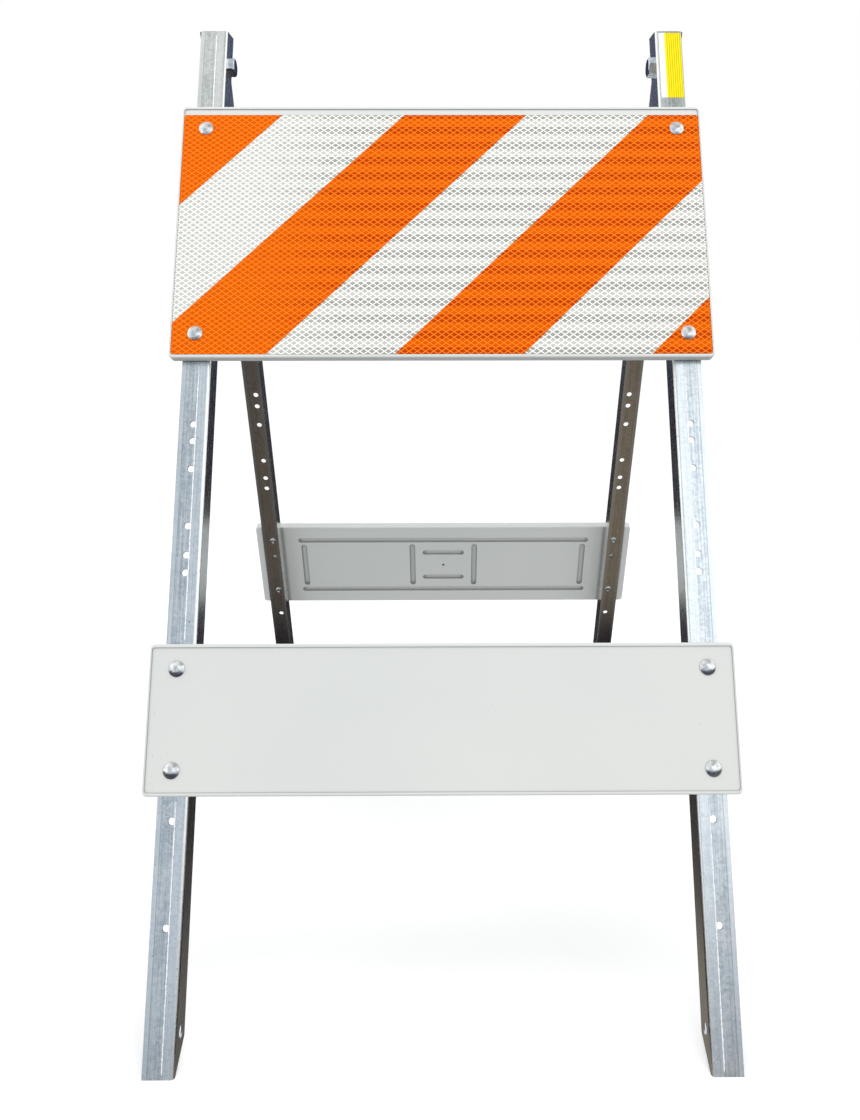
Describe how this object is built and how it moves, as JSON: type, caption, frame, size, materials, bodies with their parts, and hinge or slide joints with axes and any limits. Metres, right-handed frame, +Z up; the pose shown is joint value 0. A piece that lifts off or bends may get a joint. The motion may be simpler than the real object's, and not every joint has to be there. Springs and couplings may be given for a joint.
{
  "type": "folding traffic barricade",
  "caption": "Folding A-frame traffic barricade with punched steel angle legs, hollow plastic rails and striped reflective sheeting on its upper rails.",
  "frame": {"origin": "on the floor, under the middle of the pivot axis, at the bottom centre of the open barricade's box", "axes": "+Z up, -Y towards the front frame's boards, +X to the right when seen from the front"},
  "size_m": [0.6096, 0.8674, 1.0686],
  "materials": {
    "galvanised_steel": "hot-dip galvanised, satin with spangle",
    "white_board": "white blow-moulded polyethylene, slightly glossy",
    "white_sheeting": "white prismatic reflective sheeting",
    "orange_film": "orange translucent film over prismatic sheeting",
    "rivet_steel": "zinc plated",
    "zinc_hardware": "zinc plated, bright",
    "label_film": "printed film label, no lettering"
  },
  "bodies": {
    "front_frame": {"front_leg_left": "galvanised_steel", "front_leg_right": "galvanised_steel", "upper_front_panel": "white_board", "lower_front_panel": "white_board", "front_sheeting": "white_sheeting", "front_stripes": "orange_film", "rivets_upper_front": "rivet_steel", "rivets_lower_front": "rivet_steel", "pivot_bolt_left": "zinc_hardware", "pivot_bolt_right": "zinc_hardware", "pivot_washer_left": "zinc_hardware", "pivot_washer_right": "zinc_hardware", "pivot_nut_left": "zinc_hardware", "pivot_nut_right": "zinc_hardware", "leg_label": "label_film"},
    "rear_frame": {"rear_leg_left": "galvanised_steel", "rear_leg_right": "galvanised_steel", "upper_rear_panel": "white_board", "lower_rear_panel": "white_board", "rear_sheeting": "white_sheeting", "rear_stripes": "orange_film", "rivets_upper_rear": "rivet_steel", "rivets_lower_rear": "rivet_steel"}
  },
  "joints": [
    {"name": "frame_fold", "type": "hinge", "parent": "front_frame", "child": "rear_frame", "pos_m": [0, 0, 1.02672], "axis": [-1, 0, 0], "range_deg": [0, 44]}
  ]
}
